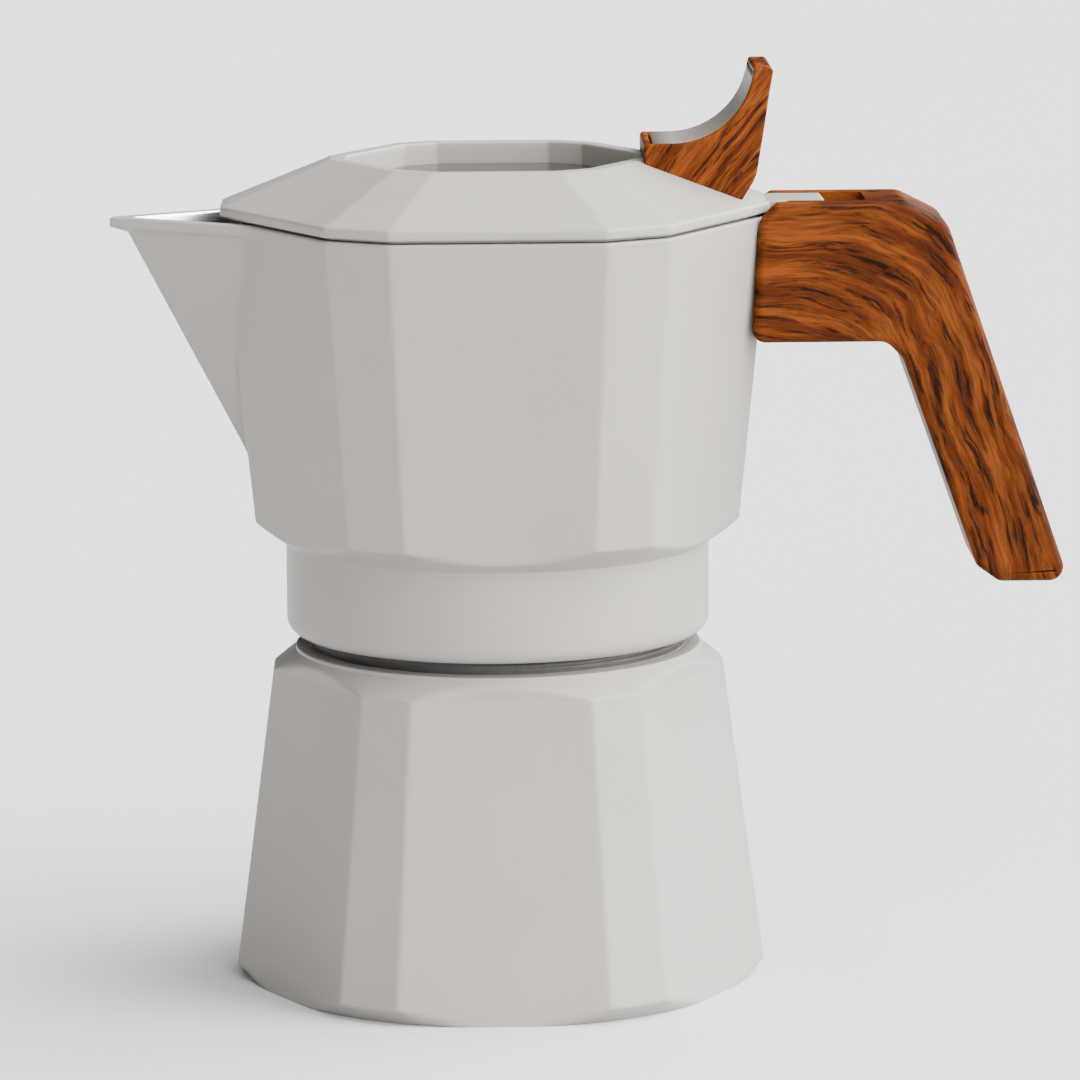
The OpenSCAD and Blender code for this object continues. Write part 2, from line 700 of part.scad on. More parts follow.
// Side view of the knob in x and z
module knob_profile() {
    top_angle = asin((knob_top_z - 0.6 - hollow_z) / knob_hollow_r);
    polygon(concat(
        [[knob_front_x, lid_top_z - 3], [knob_front_x, lid_top_z + 2.4], [knob_front_x + 0.6, lid_top_z + 3]],
        edge_arc(hollow_x, hollow_z, knob_hollow_r, -90, top_angle, 24),
        [[lid_r - 3.3, knob_top_z], [lid_r - 0.8, knob_top_z], [lid_r + 0.1, knob_top_z - 1]],
        [for (i = [0:6]) let (t = i / 6) [lid_r - 0.4 - 4.4 * t * t - 0.3 * t, knob_top_z - 3 - 20.6 * t]],
        [[lid_r - 6, lid_rim_z - 1]]
    ));
}

module knob() {
    color(wood) difference() {
        translate([0, knob_w / 2, 0]) rotate([90, 0, 0]) linear_extrude(knob_w) knob_profile();
        facet_stack([[lid_z, lid_r], [lid_rim_z, lid_r], [lid_top_z, lid_top_r]], collector_half);
        inlay_shape(0.05);
        at_knob_screw() translate([0, 0, -over]) cylinder(r = knob_screw_r, h = 6 + over);
    }
}

// Curved strip set in the hollow front of the knob
module inlay_shape(grow) {
    w = knob_w - 2 * inlay_border + 2 * grow;
    r = knob_hollow_r;
    from_z = lid_top_z + 3;
    translate([0, w / 2, 0]) rotate([90, 0, 0]) linear_extrude(w) polygon(concat(
        [[knob_front_x + 1.6 - grow, from_z + grow]],
        edge_arc(hollow_x, hollow_z, r - grow, -90, -8, 24),
        edge_arc(hollow_x, hollow_z, r + inlay_t, -8, -90, 24),
        [[knob_front_x + 1.6 - grow, from_z - inlay_t]]
    ));
}

module knob_inlay() {
    color(touch) inlay_shape(0);
}

module knob_screw() {
    color(steel) at_knob_screw() difference() {
        union() {
            translate([0, 0, -lid_wall - 1.8]) cylinder(r = 2.8, h = 1.8);
            translate([0, 0, -lid_wall - 1]) cylinder(r = knob_screw_r, h = lid_wall + 6.5);
        }
        translate([0, 0, -lid_wall - 1.8]) {
            cube([3.6, 0.7, 1.4], center = true);
            cube([0.7, 3.6, 1.4], center = true);
        }
    }
}

boiler();
valve_body();
valve_washer();
valve_pin();
valve_spring();
valve_cap();
funnel();
funnel_screen();
gasket();
filter_plate();
collector();
brew_column();
hinge_pin();
handle();
handle_screw();
handle_washer();
lid();
lid_window();
window_gasket();
knob();
knob_inlay();
knob_screw();
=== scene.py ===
# %% [markdown]
# # Faceted moka pot
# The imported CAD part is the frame: it fixes where every piece is and how it moves.
# This notebook lays a refined skin over it. Large shells are drawn again with soft edges,
# small inner pieces keep their CAD shape, and every piece gets a procedural finish.

# %% Load the frame
import json
import bmesh
import bpy
import numpy as np
from mathutils import Matrix, Vector


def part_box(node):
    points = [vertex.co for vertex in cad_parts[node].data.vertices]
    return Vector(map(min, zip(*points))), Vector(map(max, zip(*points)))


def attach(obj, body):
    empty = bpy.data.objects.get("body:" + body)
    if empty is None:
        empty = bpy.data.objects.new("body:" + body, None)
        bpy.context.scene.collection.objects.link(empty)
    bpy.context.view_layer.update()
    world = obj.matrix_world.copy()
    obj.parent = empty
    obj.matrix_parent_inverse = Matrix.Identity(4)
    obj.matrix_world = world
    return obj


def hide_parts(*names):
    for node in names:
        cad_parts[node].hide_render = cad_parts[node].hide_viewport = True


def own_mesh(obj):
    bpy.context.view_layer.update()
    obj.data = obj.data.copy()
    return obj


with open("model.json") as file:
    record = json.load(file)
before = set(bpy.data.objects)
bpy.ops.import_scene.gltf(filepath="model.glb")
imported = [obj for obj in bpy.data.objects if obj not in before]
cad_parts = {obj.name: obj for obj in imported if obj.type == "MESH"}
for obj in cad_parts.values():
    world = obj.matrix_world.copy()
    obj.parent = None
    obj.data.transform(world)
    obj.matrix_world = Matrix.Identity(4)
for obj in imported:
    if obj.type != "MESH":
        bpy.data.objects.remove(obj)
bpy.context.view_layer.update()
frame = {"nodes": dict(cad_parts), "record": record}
MM = 0.001


def box(node):
    """Lowest and highest corner of a CAD node, in millimetres."""
    low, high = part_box(node)
    return np.array(low) / MM, np.array(high) / MM


# %% [markdown]
# ## Surface tools
# A shell could be sculpted or bevelled. Here each one is a formula on a two-parameter grid, because
# the facets are planes and a soft minimum of planes gives an even, rounded edge with no bevel artefacts.
# Flat pieces such as the handle are outlines carried sideways with rounded rims.

# %% Soft minimum, facets and profiles
WIDE = np.radians(np.arange(30, 360, 60))
NARROW = np.radians(np.arange(0, 360, 60))


def soft_min(values, k):
    """Smallest of several arrays, rounded where two are close: -k log of the sum of exp(-value / k)."""
    v = np.stack(np.broadcast_arrays(*values))
    low = v.min(0)
    return low - k * np.log(np.exp((low - v) / k).sum(0))


def soft_max(values, k):
    """Largest of several arrays, rounded in the same way."""
    return -soft_min([-v for v in values], k)


def facets(theta, corner, half, k=0.1):
    """Distance from the axis, at angle theta, to six wide and six narrow upright planes.
    corner is the radius of the sharp corners and half the half angle of a wide plane."""
    planes = []
    for normals, apothem in ((WIDE, np.cos(half)), (NARROW, np.cos(np.pi / 6 - half))):
        for n in normals:
            c = np.cos(theta - n)
            planes.append(np.where(c > 0.2, corner * apothem / np.maximum(c, 0.2), 1e3))
    return soft_min(planes, k)


def plan_angles(half, extra=()):
    """Angles round the axis: close together at the twelve corners, wider apart on the flats."""
    corners = np.degrees(np.concatenate([WIDE - half, WIDE + half]))
    near = (corners[:, None] + np.linspace(-2, 2, 9)).ravel()
    a = np.sort(np.concatenate([near, np.arange(0, 360, 4), *extra]) % 360)
    return np.radians(a[np.diff(a, append=a[0] + 360) > 0.05])


def profile(spec, closed=False, arc=5):
    """Path through rows of (x, z, corner radius, step): each corner becomes an arc,
    and the straight piece that follows it is cut into equal steps."""
    s = np.array(spec, float)
    n = len(s)
    arcs = []
    for i in range(n):
        p = s[i, :2]
        u, w = p - s[i - 1, :2], s[(i + 1) % n, :2] - p
        u, w = u / np.linalg.norm(u), w / np.linalg.norm(w)
        turn = np.arccos(np.clip(u @ w, -1, 1))
        r = s[i, 2]
        if r * turn < 1e-5 or (not closed and i in (0, n - 1)):
            arcs.append(p[None])
            continue
        side = (w - np.cos(turn) * u) / np.sin(turn)
        a = np.linspace(0, turn, arc + 1)[:, None]
        arcs.append(p - u * r * np.tan(turn / 2) + r * (np.sin(a) * u + (1 - np.cos(a)) * side))
    out = []
    for i in range(n):
        out.append(arcs[i])
        if i < n - 1 or closed:
            a, b = arcs[i][-1], arcs[(i + 1) % n][0]
            k = max(1, int(np.ceil(np.linalg.norm(b - a) / s[i, 3])))
            out.append(a + (b - a) * np.arange(1, k)[:, None] / k)
    path = np.concatenate(out)
    far = np.linalg.norm(np.diff(path, axis=0, append=path[:1]), axis=1) > 1e-3
    return path[far] if closed else path[np.append(far[:-1], True)]


def round_points(r, theta, z):
    """Grid points from radius, angle and height."""
    r, theta, z = np.broadcast_arrays(r, theta, z)
    return np.stack([r * np.cos(theta), r * np.sin(theta), z], -1)


# %% Meshes from grids
def mesh_piece(name, verts, faces, flat=(), groups=None):
    """Mesh object from points in millimetres; faces are turned outward by the sign of the volume."""
    mesh = bpy.data.meshes.new(name)
    mesh.from_pydata((np.asarray(verts, float) * MM).tolist(), [], faces)
    shape = bmesh.new()
    shape.from_mesh(mesh)
    volume = shape.calc_volume(signed=True)
    shape.free()
    if volume < 0:
        mesh.flip_normals()
    smooth = np.ones(len(faces), bool)
    smooth[list(flat)] = False
    mesh.polygons.foreach_set("use_smooth", smooth)
    if groups is not None:
        mesh.polygons.foreach_set("material_index", np.asarray(groups, np.int32))
    mesh.update()
    obj = bpy.data.objects.new(name, mesh)
    bpy.context.scene.collection.objects.link(obj)
    print(f"{name}: {len(verts)} points, {len(faces)} faces, {abs(volume) * 1e6:.1f} cm3")
    return obj


def turned(name, P, ring=False, groups=None):
    """Closed skin from a grid of points: columns close round the axis. Rows close on themselves
    when ring is set; otherwise a fan to a centre point closes the first and the last row."""
    n, m = P.shape[:2]
    index = np.arange(n * m).reshape(n, m)
    a = index if ring else index[:-1]
    b = np.roll(index, -1, 0) if ring else index[1:]
    quads = np.stack([a, np.roll(a, -1, 1), np.roll(b, -1, 1), b], -1)
    faces = quads.reshape(-1, 4).tolist()
    verts = P.reshape(-1, 3)
    rows = np.repeat(np.zeros(len(a), int) if groups is None else groups[:len(a)], m)
    if not ring:
        verts = np.concatenate([verts, P[:1].mean(1), P[-1:].mean(1)])
        first, last = index[0], index[-1]
        c = np.full(m, n * m)
        faces += np.stack([c, np.roll(first, -1), first], -1).tolist()
        faces += np.stack([c + 1, last, np.roll(last, -1)], -1).tolist()
        rows = np.concatenate([rows, np.full(2 * m, rows[0])])
    return mesh_piece(name, verts, faces, groups=rows)


def slab(name, outline, low, high, rim, steps=5, middle=None, shape=None):
    """Outline of (x, z) points, counter-clockwise, carried along Y from low to high. Both rims are
    rounded to radius rim. middle lists (y, outline) rows between them; shape adjusts the points."""
    a = np.linspace(0, np.pi / 2, steps + 1)
    inset, rise = rim * (1 - np.sin(a)), rim * (1 - np.cos(a))

    def row(path, y, d):
        t = np.roll(path, -1, 0) - np.roll(path, 1, 0)
        t = t / np.linalg.norm(t, axis=1)[:, None]
        p = path - d * np.stack([t[:, 1], -t[:, 0]], -1)
        return np.stack([p[:, 0], np.full(len(p), y), p[:, 1]], -1)

    if middle is None:
        ys = np.linspace(low + rim, high - rim, 7)[1:-1]
        middle = [(y, outline) for y in ys]
    rows = [row(outline, low + r, d) for r, d in zip(rise, inset)]
    rows += [row(path, y, 0) for y, path in middle]
    rows += [row(outline, high - r, d) for r, d in zip(rise[::-1], inset[::-1])]
    P = np.stack(rows)
    if shape is not None:
        P = shape(P)
    n, m = P.shape[:2]
    index = np.arange(n * m).reshape(n, m)
    quads = np.stack([index[:-1], np.roll(index[:-1], -1, 1), np.roll(index[1:], -1, 1), index[1:]], -1)
    faces = quads.reshape(-1, 4).tolist() + [index[0][::-1].tolist(), index[-1].tolist()]
    return mesh_piece(name, P.reshape(-1, 3), faces, flat=(-1, -2))


# %% [markdown]
# ## Boiler
# One path from the centre of the base, up the outside, over the neck and down the bore to the floor.
# Its radius is cut by the twelve leaning facets, so the base chamfer and the conical shoulder end in
# the curved edges of a cast and machined pot. The neck carries a real helical thread.

# %% Boiler
neck_z = box("boiler")[1][2]
ring_z = neck_z - 13
neck_r, bore_r, ring_r = 33.2, 30.2, 36
floor_t, thread_depth = 3.2, 0.85
foot_corner, flank_slope, flank_top = 47.75, 0.1342, 56
half_b = np.radians(23)
pitch = frame["record"]["behaviour"]["couplings"][0]["ratio"] * 2 * np.pi / MM

outside = profile([
    (8, 0, 0, 12), (44.6, 0, 0.5, 0.25), (49.6, 5.3, 0, 9), (49.6, ring_z - 11, 0, 0.25),
    (ring_r, ring_z - 0.6, 0.25, 0.5), (ring_r, ring_z, 0.2, 0.5), (neck_r, ring_z, 0.15, 0.16),
    (neck_r, neck_z - 0.05, 0.5, 0.5), (bore_r, neck_z - 0.05, 0.4, 2),
])
inside = profile([
    (bore_r, neck_z - 1.5, 0, 3), (bore_r, ring_z - 1.6, 3, 2), (33.8, ring_z - 10, 3, 4),
    (39.6, floor_t, 3.5, 2), (8, floor_t, 0, 4),
])
theta_b = plan_angles(half_b)[None]
R, Z = np.concatenate([outside, inside]).T[:, :, None]
corner = foot_corner - flank_slope * np.minimum(Z, flank_top)
r = soft_min([R + 0 * theta_b, facets(theta_b, corner, half_b) + 50 * (Z > ring_z - 0.5)], 0.12)
r[len(outside):] = R[len(outside):]
turn = ((Z - pitch * theta_b / (2 * np.pi)) / pitch) % 1
groove = np.clip(1.6 - 4 * np.abs(turn - 0.5), 0, 1)
fade = np.clip((Z - ring_z - 1) / 1.5, 0, 1) * np.clip((neck_z - 0.9 - Z) / 1.2, 0, 1)
thread = (np.abs(R - neck_r) < 0.02) * fade
r = r - thread_depth * thread * groove
# Faces above the ring and all inside faces take the dark thread metal, painted shade for the gap under the
# skirt.
face_b = (Z[:, 0] > ring_z + 0.05).astype(int)
face_b[len(outside):] = 1
boiler = turned("boiler_skin", round_points(r, theta_b, Z), groups=face_b)

# %% [markdown]
# ## Valve boss
# A round pad cast on the back facet gives the valve's washer a flat seat. A cylinder would need a hole and
# a bevel. A closed path carried round the valve's axis has both from the start.

# %% Valve boss
valve_low, valve_high = box("valve_body")
valve_z = (valve_low[2] + valve_high[2]) / 2
face_y = box("valve_washer")[0][1]
hole_r, pad_r, wall_y = 5.05, 9, 37.2
pad = profile([
    (hole_r, wall_y, 0, 1), (hole_r, face_y, 0.1, 1), (pad_r, face_y, 0.7, 0.5), (pad_r, wall_y, 0, 5),
], closed=True)
around = np.linspace(0, 2 * np.pi, 64, endpoint=False)[None]
R, Y = pad[:, :1], pad[:, 1:]
P = np.stack(np.broadcast_arrays(R * np.cos(around), Y, valve_z + R * np.sin(around)), -1)
boss = turned("boiler_boss", P, ring=True)

# %% [markdown]
# ## Collector
# The outside is the larger of two shapes seen from the axis: the twelve leaning facets and the wedge of
# the spout. Taking a soft maximum of the two radii joins them in one skin without a Boolean.
# The inside does the same with the chamber and the open channel of the spout.

# %% Collector
coll_low, coll_high = box("collector")
skirt_z, rim_z = coll_low[2], coll_high[2]
tip_x = -coll_low[0]
half_c = np.radians(22.5)
skirt_top = skirt_z + 16.3
facet_z = skirt_top + 3.92
front_x = tip_x - 1.9
rim_corner, facet_growth, wall_t = 48.6, 5.5, 2.65
front_lean, flank, lip_flank = 0.518, 0.6, 0.585
chamber_z, skirt_r, thread_r = 85.31, 37.5, 33.3
edge_r = 0.45


def collector_facets(z, inset=0.0):
    """Corner radius at height z, growing evenly up to the rim."""
    return rim_corner - facet_growth * (rim_z - z) / (rim_z - facet_z) - inset


def spout_outside(theta, z):
    """Radius of the spout: two flanks that meet in a narrow leaning front, and a lip with an upright side."""
    c, s = np.maximum(-np.cos(theta), 1e-3), np.abs(np.sin(theta))
    front = front_x - front_lean * (rim_z - z)
    body = soft_min([(1.0 + flank * front) / (s + flank * c), front / c], 0.25)
    lip = soft_min([(0.9 + lip_flank * (tip_x - 0.1)) / (s + lip_flank * c), (tip_x - 0.05) / c], 0.2)
    t = np.clip((z - rim_z + 2.5) / 0.9, 0, 1)
    return np.where(np.cos(theta) < -0.3, body + (lip - body) * t, 0)


def spout_inside(theta, z):
    """Radius of the open channel, inside the spout's wall."""
    c, s = np.maximum(-np.cos(theta), 1e-3), np.abs(np.sin(theta))
    front = front_x - 2.2 - front_lean * (rim_z - z)
    channel = soft_min([(0.3 + flank * front) / (s + flank * c), front / c], 0.4)
    return np.where((np.cos(theta) < -0.3) & (z > 96), channel, 0)


lower = profile([
    (thread_r, skirt_z, 0, 1), (skirt_r, skirt_z, 2.6, 2), (skirt_r, skirt_top, 0.4, 0.25),
    (46.5, skirt_top + 6.3, 0, 0.25),
])
fillet = edge_r * (1 - np.cos(np.linspace(0, np.pi / 2, 5)))[:, None]
up = np.concatenate([np.arange(skirt_top + 6.6, 94, 2.0), np.arange(94, rim_z - 3, 0.9),
                     np.arange(rim_z - 2.8, rim_z - edge_r, 0.2)])[:, None]
edge_z = rim_z - edge_r * (1 - np.sin(np.linspace(0, np.pi / 2, 5)))[:, None]
down = np.concatenate([np.arange(rim_z - 0.6, 100, -1.4), np.arange(100, 86, -2.5)])[:, None]
under = profile([
    (37, chamber_z, 1.5, 4), (6.4, chamber_z, 0, 1), (6.4, 82.3, 0, 4), (26, 79.8, 0, 1), (28.9, 79.8, 0, 1),
    (28.9, 78.95, 0, 1), (thread_r, 78.95, 0, 2), (thread_r, skirt_z + 0.6, 0, 1), (33.8, skirt_z, 0, 1),
])[1:]
wedge = (np.arange(162, 198.1, 0.4), np.arange(177, 183.05, 0.12))
theta_c = plan_angles(half_c, wedge)[None]


def outer(z):
    """Outside radius: the larger of the facets and the spout."""
    return soft_max([facets(theta_c, collector_facets(z), half_c), spout_outside(theta_c, z)], 0.25)


def inner(z):
    """Inside radius: the larger of the chamber and the channel."""
    return soft_max([facets(theta_c, collector_facets(z, wall_t), half_c), spout_inside(theta_c, z)], 0.5)


R, low_z = lower[:, :1], lower[:, 1:]
low_facets = facets(theta_c, collector_facets(low_z), half_c) + 50 * (low_z < skirt_top - 0.6)
rows = [
    (soft_min([R + 0 * theta_c, low_facets], 0.14), low_z, 0),
    (outer(up), up, 0), (outer(edge_z) - fillet, edge_z, 0),
    (inner(edge_z[::-1]) + fillet[::-1], edge_z[::-1], 1), (inner(down), down, 1),
    (under[:, :1] + 0 * theta_c, under[:, 1:], 1),
]
r = np.concatenate([row[0] for row in rows])
Z = np.concatenate([row[1] for row in rows])
face_c = np.concatenate([np.full(len(row[1]), row[2]) for row in rows])
collector = turned("collector_skin", round_points(r, theta_c, Z), ring=True, groups=face_c)

# %% [markdown]
# ## Hinge and lid
# The lid is a ring: one closed path carried round the twelve-sided plan, which fades into a circle at the
# hole under the window. A bevelled disc would need a cut for the recess, and the path already holds it.
# The lid's tongue is a plate with two ears, and a cast lug on the collector sits between them.

# %% Lug under the hinge and handle bracket
pin_low, pin_high = box("hinge_pin")
hinge_x, hinge_z = (pin_low[0] + pin_high[0]) / 2, (pin_low[2] + pin_high[2]) / 2
lug = slab("collector_lug", profile([
    (45.2, hinge_z - 14.8, 0, 2), (63.3, hinge_z - 14.8, 0.4, 2), (63.3, hinge_z - 7, 0.6, 1),
    (hinge_x + 2.1, hinge_z - 7, 0.3, 1), (hinge_x + 2.1, hinge_z + 2.1, 2.05, 1),
    (hinge_x - 2.1, hinge_z + 2.1, 2.05, 1), (46.5, hinge_z - 1, 0, 2),
], closed=True), -3.3, 3.3, 0.3)

# %% Lid
lid_z, top_z = rim_z + 0.6, box("lid")[1][2]
lid_rim = lid_z + 1.7
floor_z = box("lid_window")[1][2]
shelf_z = box("window_gasket")[0][2]
recess_r, ledge_r, spigot_top = 26.1, 21, 139.4
ring_path = profile([
    (rim_corner, lid_z, 0.35, 1), (rim_corner, lid_rim, 0.6, 1.5), (29, top_z, 0.5, 1.5),
    (recess_r, top_z, 0.45, 1), (recess_r, shelf_z, 0, 1), (ledge_r, shelf_z, 0.2, 1),
    (ledge_r, shelf_z - 1.8, 0.2, 2), (28.6, shelf_z - 1.8, 0.3, 1),
    (30.2, top_z - 3.4, 0.5, 1.5), (45.7, lid_rim - 1.4, 0.5, 1), (45.7, lid_z - 0.5, 0.2, 1),
    (47.1, lid_z - 0.5, 0.2, 1), (47.1, lid_z, 0.1, 1),
], closed=True)
R, Z = ring_path.T[:, :, None]
theta_l = plan_angles(half_c)[None]
plan = facets(theta_l, 1.0, half_c, 0.0022)
square = np.clip((R - ledge_r) / 4.5, 0, 1)
lid = turned("lid_skin", round_points(R * (1 + (plan - 1) * square), theta_l, Z), ring=True)

step = profile([
    (41.35, rim_z - 1.6, 0.3, 1), (41.35, spigot_top, 0, 1),
    (39.8, spigot_top, 0, 1), (39.8, rim_z - 1.6, 0.3, 1),
], closed=True)
spigot = turned("lid_spigot", round_points(step[:, :1], theta_l, step[:, 1:]), ring=True)

# %% Tongue: plate and ears
plate_z, plate_top = hinge_z + 2.62, box("handle")[1][2] - 0.05
tongue = slab("lid_tongue", profile([
    (45.8, plate_z, 0, 2), (hinge_x + 4.2, plate_z, 0.3, 1), (hinge_x + 5, hinge_z + 3.4, 0.3, 1),
    (hinge_x + 3.9, plate_top, 0.35, 2), (45.8, plate_top, 0, 2),
], closed=True), -6, 6, 0.3)
ear_r = 3.35
ear_path = profile([
    (hinge_x - ear_r, hinge_z - ear_r, 3.3, 1), (hinge_x + ear_r, hinge_z - ear_r, 3.3, 1),
    (hinge_x + ear_r, hinge_z + 3.4, 0.1, 1), (hinge_x - ear_r, hinge_z + 3.4, 0.1, 1),
], closed=True)
ear_pair = [slab(f"lid_ear_{side}", ear_path, *sorted((sign * 3.7, sign * 5.98)), 0.25)
            for side, sign in (("near", -1), ("far", 1))]

# %% [markdown]
# ## Window
# A thin pane fills the recess; it is coloured near black as painted shade for the dark inside seen through it.
# It could be a flat disc, but it follows the twelve-sided plan of the lid, so that its polished edge keeps an
# even gap to the wall.

# %% Window
pane_r = recess_r - 0.2
pane = profile([
    (4, floor_z - 1.6, 0, 8), (pane_r, floor_z - 1.6, 0.15, 2), (pane_r, floor_z - 0.02, 0.15, 0.5),
    (4, floor_z - 0.02, 0, 8),
])
window = turned("window_skin", round_points(pane[:, :1] * plan, theta_l, pane[:, 1:]))

# %% [markdown]
# ## Knob and inlay
# The side view of the knob is a hollow front and a leaning back. Rows inside the border use a second outline
# that is lowered along the hollow, which leaves the pocket for the satin strip. A Boolean could cut the pocket,
# but the two outlines share their points, so its edges stay clean.

# %% Knob
knob_low, knob_high = box("knob")
kx, kz, kw = knob_low[0], knob_high[2], knob_high[1]
hollow_x, hollow_r, nose_z, tip_back = 31, 14.1, kz - 13.2, 45.2
bend = np.radians(np.linspace(-90, -9, 26))
hollow = np.stack([hollow_x + hollow_r * np.cos(bend), nose_z + hollow_r * (1 + np.sin(bend))], -1)
front = profile([
    (36, 141.2, 0, 1), (27.4, 144.8, 0.5, 1), (kx + 0.02, 145.4, 0.5, 0.5), (kx + 0.02, nose_z, 0.6, 0.5),
    (hollow_x, nose_z, 0, 1),
])[:-1]
back = profile([
    (*hollow[-1], 0, 0.5), (tip_back, kz - 0.02, 0.55, 0.5), (48.65, kz - 0.02, 0.8, 0.5),
    (47.9, kz - 4.1, 8, 1), (46.8, kz - 11.4, 12, 1), (45.5, 143.4, 6, 1), (42, 137.8, 0.9, 1),
    (36, 141.2, 0, 1),
])[1:-1]
knob_path = np.concatenate([front, hollow, back])[::-1]
t = np.roll(knob_path, -1, 0) - np.roll(knob_path, 1, 0)
t = t / np.linalg.norm(t, axis=1)[:, None]
X, Z = knob_path.T
on_hollow = (X > kx + 1.6) & (X < tip_back) & (Z > 148) & (Z < kz - 1.0) & (t[:, 0] < 0.3)
pocket = 1.2
sunk = knob_path - np.stack([t[:, 1], -t[:, 0]], -1) * (pocket * on_hollow)[:, None]
half_w = kw - 1
middle = [(-half_w, knob_path), (-half_w + 0.02, sunk), (0, sunk), (half_w - 0.02, sunk), (half_w, knob_path)]
knob = slab("knob_skin", knob_path, -kw, kw, 0.45, middle=middle)

# %% Inlay
inlay_t = 1.1
top_side = np.concatenate([[[kx + 1.75, nose_z]], hollow])
d = np.gradient(top_side, axis=0)
d = d / np.linalg.norm(d, axis=1)[:, None]
under_side = top_side + np.stack([d[:, 1], -d[:, 0]], -1) * inlay_t
inlay_path = np.concatenate([top_side, under_side[::-1]])[::-1]
inlay = slab("inlay_skin", inlay_path, -half_w + 0.06, half_w - 0.06, 0.12, steps=3)

# %% [markdown]
# ## Handle
# An outline with rounded corners, carried across the handle's width. The front top corner is drawn in
# towards the hinge, so that the lid's rim can swing past. The slot for the lid's tongue is a Boolean: it is
# open on two sides, and a single cut is simpler there than a formula.

# %% Handle
handle_low, handle_high = box("handle")
hx, hw, hz = handle_high
lz = handle_low[2]
arm_z, slot_half, swing_r, swing_growth = hz - 24.6, 6.35, 5.2, 0.53
handle_path = profile([
    (44.8, arm_z, 2.2, 1.5), (68.4, arm_z, 3, 1), (71.2, hz - 27.5, 3, 1.5),
    (84.3, lz + 2.9, 2, 0.5), (88.3, lz, 2.4, 1), (hx - 1.2, lz, 2.6, 0.5), (hx + 0.05, lz + 2.3, 2.6, 1.5),
    (79, hz - 3.7, 3.2, 1.5), (71.6, hz, 3.2, 1), (48.9, hz, 1.6, 0.6), (45.8, hz - 2.9, 1.6, 0.6),
    (45.4, hz - 12, 4, 1.5),
], closed=True, arc=7)


def clear_of_rim(P):
    """Points in front of and above the hinge are pulled in to a cone about the hinge axis."""
    d = P[..., [0, 2]] - np.array([hinge_x, hinge_z])
    far = np.linalg.norm(d, axis=-1)
    limit = swing_r + swing_growth * np.clip(np.abs(P[..., 1]) - slot_half, 0, 6)
    pull = np.where((d[..., 0] < 0) & (d[..., 1] > 0) & (far > limit), limit / np.maximum(far, 1e-6), 1)
    out = P.copy()
    out[..., 0] = hinge_x + d[..., 0] * pull
    out[..., 2] = hinge_z + d[..., 1] * pull
    return out


handle_raw = slab("handle_raw", handle_path, -hw, hw, 1.4, shape=clear_of_rim,
                  middle=[(y, handle_path) for y in np.linspace(-hw + 1.8, hw - 1.8, 21)])
slot_floor, slot_end = hinge_z - 6.4, hinge_x + 11.4
cutter = slab("slot", profile([
    (38, slot_floor, 0, 9), (slot_end, slot_floor, 0, 9), (slot_end, hz + 5, 0, 9), (38, hz + 5, 0, 9),
], closed=True), -slot_half, slot_half, 0.01, steps=1, middle=[])
cut = handle_raw.modifiers.new("slot", "BOOLEAN")
cut.operation, cut.solver, cut.object = "DIFFERENCE", "EXACT", cutter
bpy.context.view_layer.update()
evaluated = handle_raw.evaluated_get(bpy.context.evaluated_depsgraph_get())
handle = bpy.data.objects.new("handle_skin", bpy.data.meshes.new_from_object(evaluated))
bpy.context.scene.collection.objects.link(handle)
soften = handle.modifiers.new("edges", "BEVEL")
soften.width, soften.segments, soften.limit_method, soften.angle_limit = 0.0004, 2, "ANGLE", np.radians(50)
for o in (handle_raw, cutter):
    bpy.data.objects.remove(o)
print("handle:", len(handle.data.polygons), "faces after the slot")

# %% [markdown]
# ## Valve spring
# A wire swept along a helix about the valve's axis, with the last turns closed up. A Screw modifier would
# give an even coil only.

# %% Valve spring
spring_low, spring_high = box("valve_spring")
y0, y1 = spring_low[1] + 0.35, spring_high[1] - 0.35
coil_r, wire_r, coils = 2.25, 0.33, 6.5
t = np.linspace(0, 1, 240)[:, None]
turns = 2 * np.pi * coils * t
rise = y0 + (y1 - y0) * (t - 0.045 * np.sin(2 * np.pi * t))
b = np.linspace(0, 2 * np.pi, 12, endpoint=False)[None]
R = coil_r + wire_r * np.cos(b)
P = np.stack(np.broadcast_arrays(R * np.cos(turns), rise + wire_r * np.sin(b), valve_z + R * np.sin(turns)), -1)
spring = turned("spring_skin", P)

# %% [markdown]
# ## Finishes
# Photographs of paint and wood would be quicker but would not belong to the part. Every finish is a small
# node tree on the piece's own coordinates, in metres, so that it stays put when the piece moves.

# %% Node tools
class Socket:
    """A shader value that takes part in arithmetic."""

    def __init__(self, tree, out):
        self.tree, self.out = tree, out

    def math(self, operation, *others, clamp=False):
        n = self.tree.nodes.new("ShaderNodeMath")
        n.operation, n.use_clamp = operation, clamp
        for socket, value in zip(n.inputs, (self, *others)):
            plug(self.tree, value, socket)
        return Socket(self.tree, n.outputs[0])

    def __add__(self, o):
        return self.math("ADD", o)

    def __sub__(self, o):
        return self.math("SUBTRACT", o)

    def __mul__(self, o):
        return self.math("MULTIPLY", o)

    def __truediv__(self, o):
        return self.math("DIVIDE", o)

    def __rsub__(self, o):
        return (self * -1.0) + o

    __radd__, __rmul__ = __add__, __mul__


def plug(tree, value, socket):
    """Links a shader value to a socket, or sets a plain value on it."""
    if isinstance(value, Socket):
        tree.links.new(value.out, socket)
    else:
        socket.default_value = value


